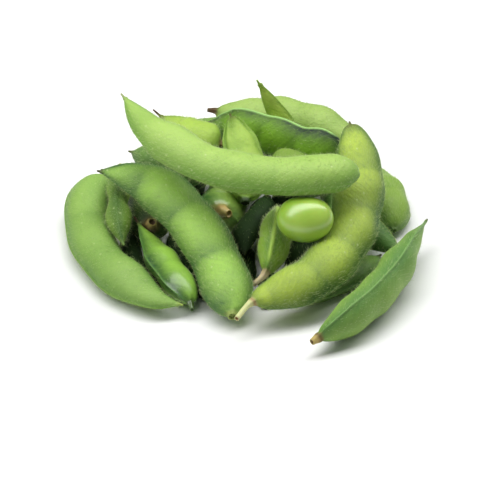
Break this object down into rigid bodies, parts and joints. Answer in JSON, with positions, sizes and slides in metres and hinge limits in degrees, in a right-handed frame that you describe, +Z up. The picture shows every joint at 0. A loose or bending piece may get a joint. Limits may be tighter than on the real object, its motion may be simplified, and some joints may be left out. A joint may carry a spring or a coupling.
{
  "type": "edamame pod bundle",
  "caption": "Loose heap of whole green soybean pods, curved and softly bulged by their beans, with a shelled bean lying on top. It lies on a flat surface.",
  "frame": {"origin": "middle of the heap's outline, on the surface that it lies on", "axes": "+Z up; +X to the right and -Y towards a viewer who sees the top pod's awn at the left"},
  "size_m": [0.0902, 0.102, 0.0338],
  "materials": {
    "pod_skin": "velvety green pod skin with fine short pale hairs, pale seams and a tan cut stalk",
    "pod_skin_glossy": "moist, smoother and darker green pod skin with soft highlights",
    "bean_skin": "smooth moist light green seed coat with a clear highlight"
  },
  "bodies": {
    "root": {"pod_base_middle": "pod_skin", "pod_base_right": "pod_skin", "pod_base_left": "pod_skin", "pod_base_front_left": "pod_skin", "pod_base_front": "pod_skin", "pod_base_middle_right": "pod_skin", "pod_base_middle_small": "pod_skin", "pod_left_under": "pod_skin", "pod_base_left_back": "pod_skin", "pod_middle_end_on": "pod_skin_glossy", "pod_base_right_back": "pod_skin", "pod_right_low": "pod_skin", "pod_right_back": "pod_skin", "pod_base_back": "pod_skin", "pod_front_right": "pod_skin", "pod_left_curved": "pod_skin", "pod_front_glossy": "pod_skin_glossy", "pod_left_inner": "pod_skin", "pod_middle_small": "pod_skin", "pod_inner_middle": "pod_skin", "pod_back_middle": "pod_skin", "pod_left_tip": "pod_skin", "pod_front_left": "pod_skin", "pod_back_left": "pod_skin", "pod_back_on_edge": "pod_skin", "pod_rearmost": "pod_skin", "pod_right_long": "pod_skin", "pod_back_upright": "pod_skin", "pod_back_folded": "pod_skin", "loose_bean": "bean_skin", "pod_top": "pod_skin"}
  },
  "joints": []
}
